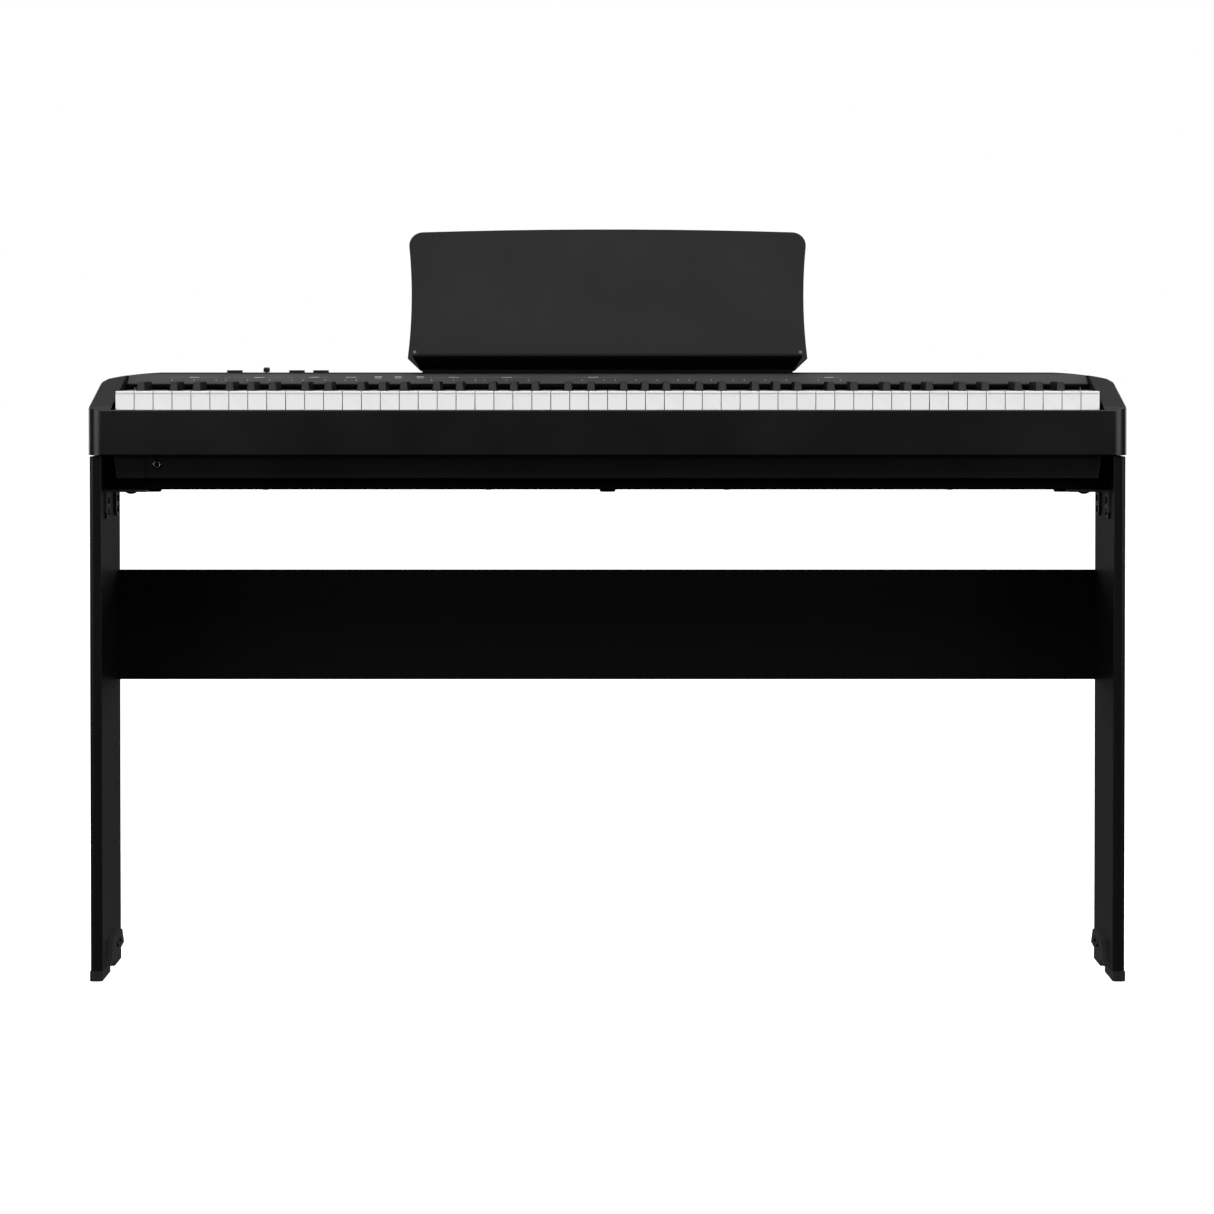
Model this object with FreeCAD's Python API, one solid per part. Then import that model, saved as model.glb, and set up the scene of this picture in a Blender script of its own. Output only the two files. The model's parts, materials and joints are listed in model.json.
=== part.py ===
import FreeCAD, Part
import math
import os
from FreeCAD import Vector

# An 88-key digital piano on its wooden stand, in millimetres.
# X runs along the keyboard with the bass at -X, Z is up and the floor is Z = 0.
# While the parts are made, Y is the depth behind the front rail's face.
# save_all() moves the origin to the middle of the footprint.

# ---- Keyboard ----
WHITE_COUNT = 52
WHITE_PITCH = 23.5
KEY_GAP = 1.0
KEY_TOP = 732.0
KEY_FRONT = 20.0
LIP_OVERHANG = 1.0
LIP_HEIGHT = 2.5
KEY_EDGE_R = 0.9
SKIRT_BOTTOM = 705.0
SKIRT_THICK = 4.0
KEY_UNDERSIDE = 718.0
HEAD_REAR = 71.0
KEY_REAR = 268.0
PIVOT_Y = 262.0
PIVOT_Z = 724.0
LUG_LENGTH = 14.0
ROD_R = 2.0
ROD_CLEARANCE = 0.05
RIB_GAP = 4.0
BLACK_BASE_W = 11.0
BLACK_TOP_W = 8.8
BLACK_SLOT = 12.8
BLACK_FRONT = 71.6
BLACK_SLOPE = 6.5
BLACK_CAP_REAR = 172.0
BLACK_TOP = 743.0
# How far each black key's centre is from the joint between the white keys beside it.
BLACK_OFFSET = {"C": -2.4, "D": 2.8, "F": -3.1, "G": 0.0, "A": 3.3}
SHARP_NAME = {letter: letter.lower() + "_sharp" for letter in BLACK_OFFSET}
SINGLE_OCTAVE = 4
# The other keys move together by octave; the two at the bottom ride with octave 1.
GROUPS = {"a0_to_b1": (0, 1), "c2_to_b2": (2,), "c3_to_b3": (3,)}
GROUPS.update({"c5_to_b5": (5,), "c6_to_b6": (6,), "c7_to_c8": (7, 8)})

# ---- Upper case ----
CASE_W = 1288.0
CASE_DEPTH = 286.0
CASE_TOP = 754.0
RAIL_BOTTOM = 652.6
RAIL_TOP = 709.0
RAIL_DEPTH = 16.0
CORNER_R = 17.0
CHEEK_INNER = 612.5
BAY_HALF_FRONT = 615.0
RAIL_EDGE_R = 1.5
SLOPE_END_Y = 181.0
SLOPE_END_Z = 751.0
LEVEL_Y = 215.0
CROWN_X = 575.0
CROWN_DROP = 9.5
CROWN_START = 2.0
REAR_R = 12.0
# Depth, edge height, edge radius and inward rise (degrees) of the cheeks' rounded outer edge.
EDGE_STATIONS = ((-5.0, 708.5, 3.0, 0.0), (155.0, 744.5, 9.0, 0.0))
EDGE_STATIONS += ((190.0, 744.5, 12.0, 15.8), (300.0, 744.5, 12.0, 15.8))
WALL = 3.0
PANEL_FRONT = 178.0
PANEL_FRONT_Z = 739.0
PANEL_HALF_W = 611.8
HOLLOW_HALF = 560.0
PANEL_UNDERSIDE = 750.0
PANEL_LOWER_Z = 735.0

# ---- Lower case ----
CASE_BOTTOM = 609.0
SKIRT_FACE = 22.0
SKIRT_LOW_Z = 624.0
SKIRT_HALF_TOP = 613.7
SKIRT_HALF_LOW = 609.8
TRAY_FRONT = 50.0
TRAY_REAR = 283.0
TRAY_HALF_W = 626.0
TRAY_WALL = 2.5
FRAME_HALF_W = 612.0
FRAME_FLOOR = 657.0
FRAME_TOP = 703.0
HAMMER_Y = 120.0
HAMMER_Z = 674.0
HAMMER_W = 9.0
ROD_PLACES = ((PIVOT_Y, PIVOT_Z), (HAMMER_Y, HAMMER_Z))
SPEAKER_X = 300.0
SPEAKER_Y = 165.0
SPEAKER_R = 45.0
FOOT_X = 572.0
FOOT_R = 11.5
FOOT_H = 4.5
FOOT_TAPER = 2.5
SCREW_XS = (-590.0, -430.0, -150.0, 150.0, 430.0, 590.0)
SCREW_YS = (100.0, 268.0)
SCREW_BORE_R = 1.45

# ---- Sockets ----
JACK_R = 3.3
COLLAR_R = 6.0
DC_COLLAR_R = 5.0
USB_HALF = 6.4
FIT = 0.1
PLATE_HALF = 15.0
PLATE_RECESS = 1.5
HEADPHONE_X = -559.5
HEADPHONE_Z = 641.0
REAR_SOCKET_Z = 632.0
REAR_JACK_XS = (-60.0, -25.0, 20.0)
USB_X = 52.0
DC_X = 90.0
BOARD_Z = 622.0
BOARD_T = 1.6

# ---- Controls on the panel's top ----
CONTROL_Y = 250.0
POWER_X = -480.0
SLIDER_X = -439.0
FUNCTION_XS = (-400.0, -369.0)
BUTTON_XS = (POWER_X,) + FUNCTION_XS
BUTTON_W = 20.0
BUTTON_D = 10.0
BUTTON_RISE = 3.0
KNOB_RISE = 6.6
SLIDER_TRAVEL = 18.0
SLIDER_STEM = 2.0
CONTROL_BOARD_Z = 741.0
CONTROL_BOARD_X = (-508.0, -341.0)
POST_R = 2.5

# ---- Music rest ----
REST_LEAN = 20.0
REST_Y = 235.0
REST_FOOT_HALF = 238.0
REST_HALF = 257.0
REST_WAIST_HALF = 253.0
REST_HEIGHT = 197.4
REST_CROWN = 4.0
REST_CORNER_R = 18.0
REST_T = 3.5
TONGUE_DEPTH = 8.0
LEDGE_FRONT_Y = 190.0
LEDGE_FRONT_Z = 775.0
LEDGE_FRONT_HALF = 249.0
LEDGE_REAR_HALF = 240.0
LEDGE_T = 4.0
REST_EDGE_R = 1.0
STOP_X = 246.0

# ---- Stand ----
LEG_INNER = 627.0
LEG_T = 15.0
LEG_FRONT = 6.0
LEG_REAR = 236.0
LEG_BOTTOM = 12.0
LEG_TOP = 651.0
BACK_RAIL_Y = 218.0
BACK_RAIL_T = 15.0
BACK_RAIL_Z = (360.5, 501.0)
SHOE_SPANS = ((-2.0, 102.0), (150.0, 240.0))
SHOE_HALF_W = 8.0
SHOE_END_R = 6.0
LEG_OUTER_R = 5.0
BOARD_EDGE_R = 1.0
BRACKET_YS = (63.0, 178.0)
BRACKET_HALF = 21.0
BRACKET_T = 3.0
BRACKET_LOW = 572.6
BRACKET_REACH = 575.0
BOLT_X = 595.5
BRACKET_SCREW_ZS = (594.7, 580.7)
STABILISER_T = 6.0
STABILISER_OUTLINE = ((44.0, 14.0), (75.0, 13.4), (217.0, 23.0), (195.0, 42.0), (176.0, 45.0))
STABILISER_OUTLINE += ((82.0, 41.0), (60.0, 20.0))
STABILISER_SCREWS = ((130.0, 31.0), (162.0, 33.5))
SCREW_HEAD_R = 4.0
SCREW_HEAD_T = 2.2
SCREW_R = 2.0
SCREW_L = 12.0
RAIL_BOLT_ZS = (390.0, 471.0)


# ---- Helpers ----
def box(x0, x1, y0, y1, z0, z1):
    return Part.makeBox(x1 - x0, y1 - y0, z1 - z0, Vector(x0, y0, z0))


def face(items):
    """A planar face from corner points; a tuple of three points is an arc through them."""
    edges = []
    first = items[0][0] if isinstance(items[0], tuple) else items[0]
    last = first
    for item in items:
        start = item[0] if isinstance(item, tuple) else item
        if not start.isEqual(last, 1e-6):
            edges.append(Part.makeLine(last, start))
        last = start
        if isinstance(item, tuple):
            edges.append(Part.Arc(*item).toShape())
            last = item[2]
    edges.append(Part.makeLine(last, first))
    return Part.Face(Part.Wire(edges))


def prism_x(points, x0, x1):
    """A prism along X from (y, z) corners."""
    corners = [Vector(x0, y, z) for y, z in points]
    wire = Part.makePolygon(corners + corners[:1])
    return Part.Face(wire).extrude(Vector(x1 - x0, 0, 0))


def prism_y(points, y0, y1):
    """A prism along Y from (x, z) corners."""
    corners = [Vector(x, y0, z) for x, z in points]
    wire = Part.makePolygon(corners + corners[:1])
    return Part.Face(wire).extrude(Vector(0, y1 - y0, 0))


def prism_z(points, z0, z1):
    """A prism along Z from (x, y) corners."""
    corners = [Vector(x, y, z0) for x, y in points]
    wire = Part.makePolygon(corners + corners[:1])
    return Part.Face(wire).extrude(Vector(0, 0, z1 - z0))


def rod(axis, start, length, radius):
    return Part.makeCylinder(radius, length, Vector(*start), Vector(*axis))


def join(shapes):
    first, rest = shapes[0], shapes[1:]
    return first.multiFuse(rest).removeSplitter() if rest else first


def group(shapes):
    """Several separate solids that share one node."""
    return Part.makeCompound(shapes)


def mirrored(shape):
    return shape.mirror(Vector(0, 0, 0), Vector(1, 0, 0))


def round_edges(shape, radius, wanted):
    """Fillets the edges whose bounding box the given test accepts."""
    edges = [edge for edge in shape.Edges if wanted(edge.BoundBox)]
    return shape.makeFillet(radius, edges)


def near(a, b):
    return abs(a - b) < 0.01


# ---- Keys ----
def white_letter(k):
    return "ABCDEFG"[k % 7]


def octave_of(k):
    return (k + 5) // 7


def white_left(k):
    return (k - WHITE_COUNT / 2) * WHITE_PITCH


def has_black_after(k):
    return 0 <= k < WHITE_COUNT - 1 and white_letter(k) in BLACK_OFFSET


def black_centre(k):
    return white_left(k + 1) + BLACK_OFFSET[white_letter(k)]


def hinge_bore():
    radius = ROD_R + ROD_CLEARANCE
    return rod((1, 0, 0), (-CASE_W / 2, PIVOT_Y, PIVOT_Z), CASE_W, radius)


def white_key(k):
    """A head of full width, a tail that leaves room for the black keys, and a hinge lug."""
    left = white_left(k) + KEY_GAP / 2
    right = white_left(k + 1) - KEY_GAP / 2
    tail_left = black_centre(k - 1) + BLACK_SLOT / 2 if has_black_after(k - 1) else left
    tail_right = black_centre(k) - BLACK_SLOT / 2 if has_black_after(k) else right
    face_y = KEY_FRONT + LIP_OVERHANG
    lug_front = PIVOT_Y - LUG_LENGTH
    lip = box(left, right, KEY_FRONT, HEAD_REAR, KEY_TOP - LIP_HEIGHT, KEY_TOP)
    head = box(left, right, face_y, HEAD_REAR, KEY_UNDERSIDE, KEY_TOP)
    skirt = box(left, right, face_y, face_y + SKIRT_THICK, SKIRT_BOTTOM, KEY_TOP)
    tail = box(tail_left, tail_right, HEAD_REAR, lug_front, KEY_UNDERSIDE, KEY_TOP)
    lug_left = max(tail_left, white_left(k) + RIB_GAP / 2)
    lug_right = min(tail_right, white_left(k + 1) - RIB_GAP / 2)
    lug = box(lug_left, lug_right, lug_front, KEY_REAR, KEY_UNDERSIDE, KEY_TOP)
    key = join([lip, head, skirt, tail, lug])
    lip_z = KEY_TOP - LIP_HEIGHT
    on_lip = lambda b: b.ZMin > lip_z - 0.01 and near(b.ZMax, KEY_TOP) and b.YMax < HEAD_REAR + 0.1
    return round_edges(key, KEY_EDGE_R, on_lip).cut(hinge_bore())


def black_key(k):
    """A tapered cap with a sloping front on a narrow stem."""
    x = black_centre(k)
    low, high = BLACK_BASE_W / 2, BLACK_TOP_W / 2
    base = box(x - low, x + low, BLACK_FRONT, BLACK_CAP_REAR, KEY_UNDERSIDE + 4, KEY_TOP)
    loft = Part.makeLoft(
        [
            rectangle(x - low, x + low, BLACK_FRONT, BLACK_CAP_REAR, KEY_TOP),
            rectangle(x - high, x + high, BLACK_FRONT + BLACK_SLOPE, BLACK_CAP_REAR - 2, BLACK_TOP),
        ],
        True,
        True,
    )
    cap = round_edges(loft, 1.5, lambda b: b.ZMax > BLACK_TOP - 0.01 and b.YMin < BLACK_CAP_REAR - 3)
    stem = box(x - 4, x + 4, BLACK_CAP_REAR - 10, KEY_REAR, KEY_UNDERSIDE, KEY_TOP - 1)
    return join([base, cap, stem]).cut(hinge_bore())


def rectangle(x0, x1, y0, y1, z):
    corners = [Vector(x0, y0, z), Vector(x1, y0, z), Vector(x1, y1, z), Vector(x0, y1, z)]
    return Part.makePolygon(corners + corners[:1])


def key_parts():
    """The middle octave has a node for each key; the other keys share nodes by octave."""
    parts = {}
    for k in range(WHITE_COUNT):
        if octave_of(k) == SINGLE_OCTAVE:
            letter = white_letter(k)
            parts["key_" + letter.lower() + str(SINGLE_OCTAVE)] = white_key(k)
            if has_black_after(k):
                parts["key_" + SHARP_NAME[letter] + "_" + str(SINGLE_OCTAVE)] = black_key(k)
    for name, octaves in GROUPS.items():
        members = [k for k in range(WHITE_COUNT) if octave_of(k) in octaves]
        parts["white_keys_" + name] = group([white_key(k) for k in members])
        parts["black_keys_" + name] = group([black_key(k) for k in members if has_black_after(k)])
    return parts


# ---- Upper case ----
def upper_envelope():
    """The outer form that the front rail, both cheeks and the panel are cut from."""
    half = CASE_W / 2
    side = face(
        [
            edge_arc(-half, (RAIL_EDGE_R, RAIL_BOTTOM), (0, RAIL_BOTTOM), (0, RAIL_BOTTOM + RAIL_EDGE_R)),
            edge_arc(-half, (0, RAIL_TOP - RAIL_EDGE_R), (0, RAIL_TOP), slope_point(RAIL_EDGE_R)),
            Vector(-half, SLOPE_END_Y, SLOPE_END_Z),
            Vector(-half, LEVEL_Y, CASE_TOP),
            arc_at(-half, CASE_DEPTH - REAR_R, CASE_TOP - REAR_R, REAR_R),
            Vector(-half, CASE_DEPTH, RAIL_BOTTOM),
        ]
    ).extrude(Vector(CASE_W, 0, 0))
    y, base = -1, RAIL_BOTTOM - 1
    front = face([Vector(-half, y, base), crown_arc(y, -1), crown_arc(y, 1), Vector(half, y, base)])
    front = front.extrude(Vector(0, CASE_DEPTH + 2, 0))
    plan = box(-half, half, 0, CASE_DEPTH, base, CASE_TOP + 1)
    plan = round_edges(plan, CORNER_R, lambda b: near(b.XLength, 0) and near(b.YLength, 0))
    edges = Part.makeLoft([edge_section(*station) for station in EDGE_STATIONS], True, True)
    return plan.common(side.common(front)).common(edges).Solids[0]


def slope_point(distance):
    """A point on the slope, so far from the front rail's top edge."""
    turn = math.atan2(SLOPE_END_Z - RAIL_TOP, SLOPE_END_Y)
    return distance * math.cos(turn), RAIL_TOP + distance * math.sin(turn)


def edge_arc(x, start, corner, end):
    """The arc tangent to both sides of a corner, from (y, z) points at one distance from it."""
    a, c, b = (Vector(x, *point) for point in (start, corner, end))
    to_middle = (a + b) * 0.5 - c
    half_turn = math.asin((b - a).Length / 2 / (a - c).Length)
    radius = (a - c).Length * math.tan(half_turn)
    reach = (a - c).Length / math.cos(half_turn) - radius
    middle = c + to_middle.normalize() * reach
    return (a, middle, b)


def crown_arc(y, side):
    """The arc, from left to right, that lets the flat top fall away towards one end of the case."""
    run = CASE_W / 2 - CROWN_X
    start = math.radians(CROWN_START)
    bend = math.atan2(CROWN_DROP, run) - start
    radius = math.hypot(run, CROWN_DROP) / (2 * math.sin(bend))
    rise = radius * (math.cos(start + bend) - math.cos(start))
    reach = CROWN_X + radius * (math.sin(start + bend) - math.sin(start))
    inner = Vector(side * CROWN_X, y, CASE_TOP)
    middle = Vector(side * reach, y, CASE_TOP + rise)
    outer = Vector(side * CASE_W / 2, y, CASE_TOP - CROWN_DROP)
    return (inner, middle, outer) if side > 0 else (outer, middle, inner)


def edge_section(y, edge_z, radius, rise):
    """A full-width section whose only trimming corners are the arcs along the outer edges."""
    half = CASE_W / 2
    turn = math.radians(rise)
    cx = half - radius
    cz = edge_z + radius * math.tan(turn) - radius / math.cos(turn) - 0.15
    sweep = math.radians(86 - rise)
    up = Vector(0, 0, RAIL_BOTTOM - 5)
    middle = Vector(cx + radius * math.cos(sweep / 2), y, cz + radius * math.sin(sweep / 2))
    end = Vector(cx + radius * math.cos(sweep), y, cz + radius * math.sin(sweep))
    high = Vector(end.x - 100, y, end.z + 100 * math.tan(turn + math.radians(4)))
    right = [Vector(half, y, up.z), Vector(half, y, cz), middle, end, high, Vector(high.x, y, CASE_TOP + 60)]
    left = [Vector(-p.x, p.y, p.z) for p in reversed(right)]
    return face(
        [right[0], (right[1], right[2], right[3]), right[4], right[5]]
        + [left[0], left[1], (left[2], left[3], left[4]), left[5]]
    ).OuterWire


def arc_at(x, y, z, radius):
    """The quarter arc that turns a top face down into a rear face."""
    s = radius * math.sqrt(0.5)
    return (Vector(x, y, z + radius), Vector(x, y + s, z + s), Vector(x, y + radius, z))


def front_rail(envelope):
    half = CASE_W / 2
    key_bay = CHEEK_INNER - 1
    rail = envelope.common(box(-half, half, 0, CORNER_R, RAIL_BOTTOM, CASE_TOP))
    rail = rail.cut(box(-BAY_HALF_FRONT, BAY_HALF_FRONT, -1, CORNER_R, RAIL_TOP, CASE_TOP))
    rail = rail.cut(box(-key_bay, key_bay, WALL, CORNER_R, RAIL_BOTTOM + WALL, RAIL_TOP - WALL))
    rail = rail.cut(box(-key_bay, key_bay, RAIL_DEPTH, CORNER_R, RAIL_TOP - WALL, RAIL_TOP))
    shelf = box(-key_bay, key_bay, CORNER_R, TRAY_FRONT, RAIL_BOTTOM, RAIL_BOTTOM + WALL)
    return join([rail, shelf])


def cheek(envelope):
    """The right cheek: a hollow moulding that is open underneath."""
    half = CASE_W / 2
    outline = [(BAY_HALF_FRONT, CORNER_R), (CHEEK_INNER, PANEL_FRONT), (CHEEK_INNER, CASE_DEPTH)]
    outline += [(half, CASE_DEPTH), (half, CORNER_R)]
    solid = envelope.common(prism_z(outline, RAIL_BOTTOM, CASE_TOP))
    pocket = prism_x(
        [
            (CORNER_R + WALL, RAIL_BOTTOM),
            (CORNER_R + WALL, RAIL_TOP - WALL),
            (SLOPE_END_Y, SLOPE_END_Z - CROWN_DROP - WALL),
            (CASE_DEPTH - REAR_R, SLOPE_END_Z - CROWN_DROP - WALL),
            (CASE_DEPTH - REAR_R, RAIL_BOTTOM),
        ],
        BAY_HALF_FRONT + WALL,
        half - 2 * WALL,
    )
    return solid.cut(pocket)


def control_panel(envelope):
    """The sloped strip behind the keys and the flat top, as one thin moulding."""
    blank = prism_x(
        [
            (PANEL_FRONT, PANEL_LOWER_Z),
            (PANEL_FRONT, PANEL_FRONT_Z),
            (LEVEL_Y, CASE_TOP - 1),
            (LEVEL_Y + 4, CASE_TOP),
            (CASE_DEPTH, CASE_TOP),
            (CASE_DEPTH, PANEL_LOWER_Z),
        ],
        -PANEL_HALF_W,
        PANEL_HALF_W,
    ).common(envelope)
    hollow = prism_x(
        [
            (PANEL_FRONT + WALL, PANEL_LOWER_Z - 1),
            (PANEL_FRONT + WALL, PANEL_FRONT_Z - WALL),
            (LEVEL_Y, PANEL_UNDERSIDE - 1),
            (LEVEL_Y + 4, PANEL_UNDERSIDE),
            (CASE_DEPTH - REAR_R, PANEL_UNDERSIDE),
            (CASE_DEPTH - WALL, PANEL_UNDERSIDE - REAR_R + WALL),
            (CASE_DEPTH - WALL, PANEL_LOWER_Z - 1),
        ],
        -HOLLOW_HALF,
        HOLLOW_HALF,
    )
    end_hollow = box(
        HOLLOW_HALF,
        PANEL_HALF_W - WALL,
        PANEL_FRONT + WALL,
        CASE_DEPTH - WALL,
        PANEL_LOWER_Z - 1,
        PANEL_FRONT_Z - WALL,
    )
    cuts = [hollow, end_hollow, mirrored(end_hollow), tongue(0.6)]
    cuts += [button_hole(x) for x in BUTTON_XS]
    travel = SLIDER_TRAVEL + SLIDER_STEM
    low, high = CONTROL_BOARD_Z, CASE_TOP + 1
    front, rear = CONTROL_Y - SLIDER_STEM, CONTROL_Y + SLIDER_STEM
    slot = box(SLIDER_X - travel, SLIDER_X + travel, front, rear, low, high)
    return join([blank.cut(cuts + [slot])] + board_posts())


def board_posts():
    """Four posts under the panel that carry the control board."""
    board_top = CONTROL_BOARD_Z + BOARD_T
    posts = []
    for x in (CONTROL_BOARD_X[0] + 4, CONTROL_BOARD_X[1] - 4):
        for y in (CONTROL_Y - 10, CONTROL_Y + 10):
            posts.append(rod((0, 0, 1), (x, y, board_top), PANEL_UNDERSIDE - board_top, POST_R))
    return posts


def button_hole(x):
    w, d = BUTTON_W / 2 + 0.4, BUTTON_D / 2 + 0.4
    return box(x - w, x + w, CONTROL_Y - d, CONTROL_Y + d, PANEL_UNDERSIDE - 1, CASE_TOP + 1)


def rear_panel():
    half = CHEEK_INNER - 0.5
    return box(-half, half, TRAY_REAR, CASE_DEPTH, RAIL_BOTTOM, PANEL_LOWER_Z)


# ---- Controls ----
def button(x):
    w, d = BUTTON_W / 2, BUTTON_D / 2
    low = PANEL_UNDERSIDE - 1.8
    cap = box(x - w, x + w, CONTROL_Y - d, CONTROL_Y + d, low, CASE_TOP + BUTTON_RISE)
    cap = round_edges(cap, 2.0, lambda b: near(b.XLength, 0) and near(b.YLength, 0))
    cap = round_edges(cap, 0.8, lambda b: b.ZMin > CASE_TOP + BUTTON_RISE - 0.01)
    w, d = w + 2.0, d + 1.5
    flange = box(x - w, x + w, CONTROL_Y - d, CONTROL_Y + d, low, low + 1.5)
    return join([cap, flange])


def volume_slider():
    low, high = CASE_TOP + 0.5, CASE_TOP + KNOB_RISE
    stem_r = SLIDER_STEM - 0.5
    carriage_z = CONTROL_BOARD_Z + 4
    knob = box(SLIDER_X - 3.8, SLIDER_X + 3.8, CONTROL_Y - 5, CONTROL_Y + 5, low, high)
    knob = round_edges(knob, 1.8, lambda b: near(b.ZMin, high))
    front, rear = CONTROL_Y - stem_r, CONTROL_Y + stem_r
    stem = box(SLIDER_X - stem_r, SLIDER_X + stem_r, front, rear, carriage_z + 1, low + 1)
    carriage = box(SLIDER_X - 5, SLIDER_X + 5, CONTROL_Y - 3.5, CONTROL_Y + 3.5, carriage_z, carriage_z + 2)
    return join([knob, stem, carriage])


def control_board():
    """The small board under the buttons, with its switches and the slider's track."""
    top = CONTROL_BOARD_Z + BOARD_T
    board = box(*CONTROL_BOARD_X, CONTROL_Y - 14, CONTROL_Y + 14, CONTROL_BOARD_Z, top)
    switches = [box(x - 3, x + 3, CONTROL_Y - 3, CONTROL_Y + 3, top, top + 3.6) for x in BUTTON_XS]
    track = box(SLIDER_X - 27, SLIDER_X + 27, CONTROL_Y - 4, CONTROL_Y + 4, top, top + 1.8)
    return join([board, track] + switches)


# ---- Music rest ----
def lean(shape):
    """Turns a shape drawn upright in the XZ plane back to the rest's lean."""
    placed = shape.copy()
    placed.rotate(Vector(0, 0, 0), Vector(1, 0, 0), -REST_LEAN)
    placed.translate(Vector(0, REST_Y, CASE_TOP))
    return placed


def tongue(clearance):
    """The strip that stands in the panel's slot, or the slot itself when it has clearance."""
    half = REST_FOOT_HALF + clearance
    return lean(box(-half, half, -clearance, REST_T + clearance, -TONGUE_DEPTH - clearance, 5))


def music_rest():
    """The plate, its tongue in the panel's slot and its ledge, moulded as one."""
    low, high = 20.0, REST_HEIGHT - 24
    top = REST_HEIGHT - REST_CROWN
    shoulder = REST_HALF - REST_CORNER_R
    s = REST_CORNER_R * (1 - math.sqrt(0.5))
    waist = [(REST_HALF, low), (REST_WAIST_HALF, (low + high) / 2), (REST_HALF, high)]
    corner = [(REST_HALF, top - REST_CORNER_R), (REST_HALF - s, top - s), (shoulder, top)]
    left = [tuple(Vector(-x, 0, z) for x, z in arc) for arc in (waist, corner)]
    right = [tuple(Vector(x, 0, z) for x, z in reversed(arc)) for arc in (corner, waist)]
    crown = (Vector(-shoulder, 0, top), Vector(0, 0, REST_HEIGHT), Vector(shoulder, 0, top))
    foot = [Vector(side * LEDGE_REAR_HALF, 0, 3) for side in (-1, 1)]
    plate = face(foot[:1] + left + [crown] + right + foot[1:]).extrude(Vector(0, REST_T, 0))
    return join([lean(plate), tongue(0), ledge()])


def ledge():
    """The tray that carries the music: it rises forwards and narrows towards the foot."""
    rear_y, rear_z = REST_Y + 3.0, CASE_TOP + 3.0
    profile = [
        (rear_y, rear_z),
        (LEDGE_FRONT_Y, LEDGE_FRONT_Z),
        (LEDGE_FRONT_Y, LEDGE_FRONT_Z + LEDGE_T),
        (rear_y, rear_z + LEDGE_T),
    ]
    plate = prism_x(profile, -LEDGE_FRONT_HALF, LEDGE_FRONT_HALF)
    outline = [
        (-LEDGE_FRONT_HALF, LEDGE_FRONT_Y),
        (LEDGE_FRONT_HALF, LEDGE_FRONT_Y),
        (LEDGE_REAR_HALF, rear_y),
        (-LEDGE_REAR_HALF, rear_y),
    ]
    plate = plate.common(prism_z(outline, CASE_TOP, LEDGE_FRONT_Z + 10))
    return round_edges(plate, REST_EDGE_R, lambda b: b.YMax < LEDGE_FRONT_Y + 0.01)


def page_stops():
    """Two small posts on the ledge's front corners, square to its top face."""
    run = REST_Y + 3.0 - LEDGE_FRONT_Y
    fall = LEDGE_FRONT_Z - CASE_TOP - 3.0
    length = math.hypot(run, fall)
    normal = Vector(0, fall / length, run / length)
    y = LEDGE_FRONT_Y + 3.5
    z = LEDGE_FRONT_Z + LEDGE_T - 3.5 * fall / run
    stops = []
    for x in (-STOP_X, STOP_X):
        stop = Part.makeCylinder(2.4, 4.0, Vector(x, y, z), normal)
        stops.append(stop)
    return group(stops)


# ---- Lower case ----
def lower_case():
    """The tapered skirt under the front rail, with the headphone plate let into it."""
    outer = prism_y(
        [
            (-SKIRT_HALF_LOW, SKIRT_LOW_Z),
            (-SKIRT_HALF_TOP, RAIL_BOTTOM),
            (SKIRT_HALF_TOP, RAIL_BOTTOM),
            (SKIRT_HALF_LOW, SKIRT_LOW_Z),
        ],
        SKIRT_FACE,
        TRAY_FRONT,
    )
    outer = round_edges(outer, 2.0, lambda b: near(b.YMax, SKIRT_FACE) and b.XLength < 10)
    inner = SKIRT_HALF_LOW - WALL
    hollow = box(-inner, inner, SKIRT_FACE + WALL, TRAY_FRONT, SKIRT_LOW_Z + WALL, RAIL_BOTTOM)
    left, right = HEADPHONE_X - PLATE_HALF, HEADPHONE_X + PLATE_HALF
    plate = box(left, right, SKIRT_FACE - 1, SKIRT_FACE + PLATE_RECESS, SKIRT_LOW_Z, RAIL_BOTTOM - 2)
    hole = rod((0, 1, 0), (HEADPHONE_X, SKIRT_FACE - 1, HEADPHONE_Z), 2 * WALL, COLLAR_R + FIT)
    return outer.cut([hollow, plate, hole])


def headphone_jack():
    """A 6.35 mm socket: collar, barrel and body, with a blind bore from the front."""
    start = (HEADPHONE_X, SKIRT_FACE, HEADPHONE_Z)
    x, z = HEADPHONE_X, HEADPHONE_Z
    collar = rod((0, 1, 0), start, 4, COLLAR_R)
    collar = round_edges(collar, 0.8, lambda b: near(b.YMax, SKIRT_FACE))
    body = box(x - 8, x + 8, SKIRT_FACE + 4, TRAY_FRONT - 1, z - 8, z + 8)
    bore = rod((0, 1, 0), start, 20, JACK_R)
    return join([collar, body]).cut(bore)


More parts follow.
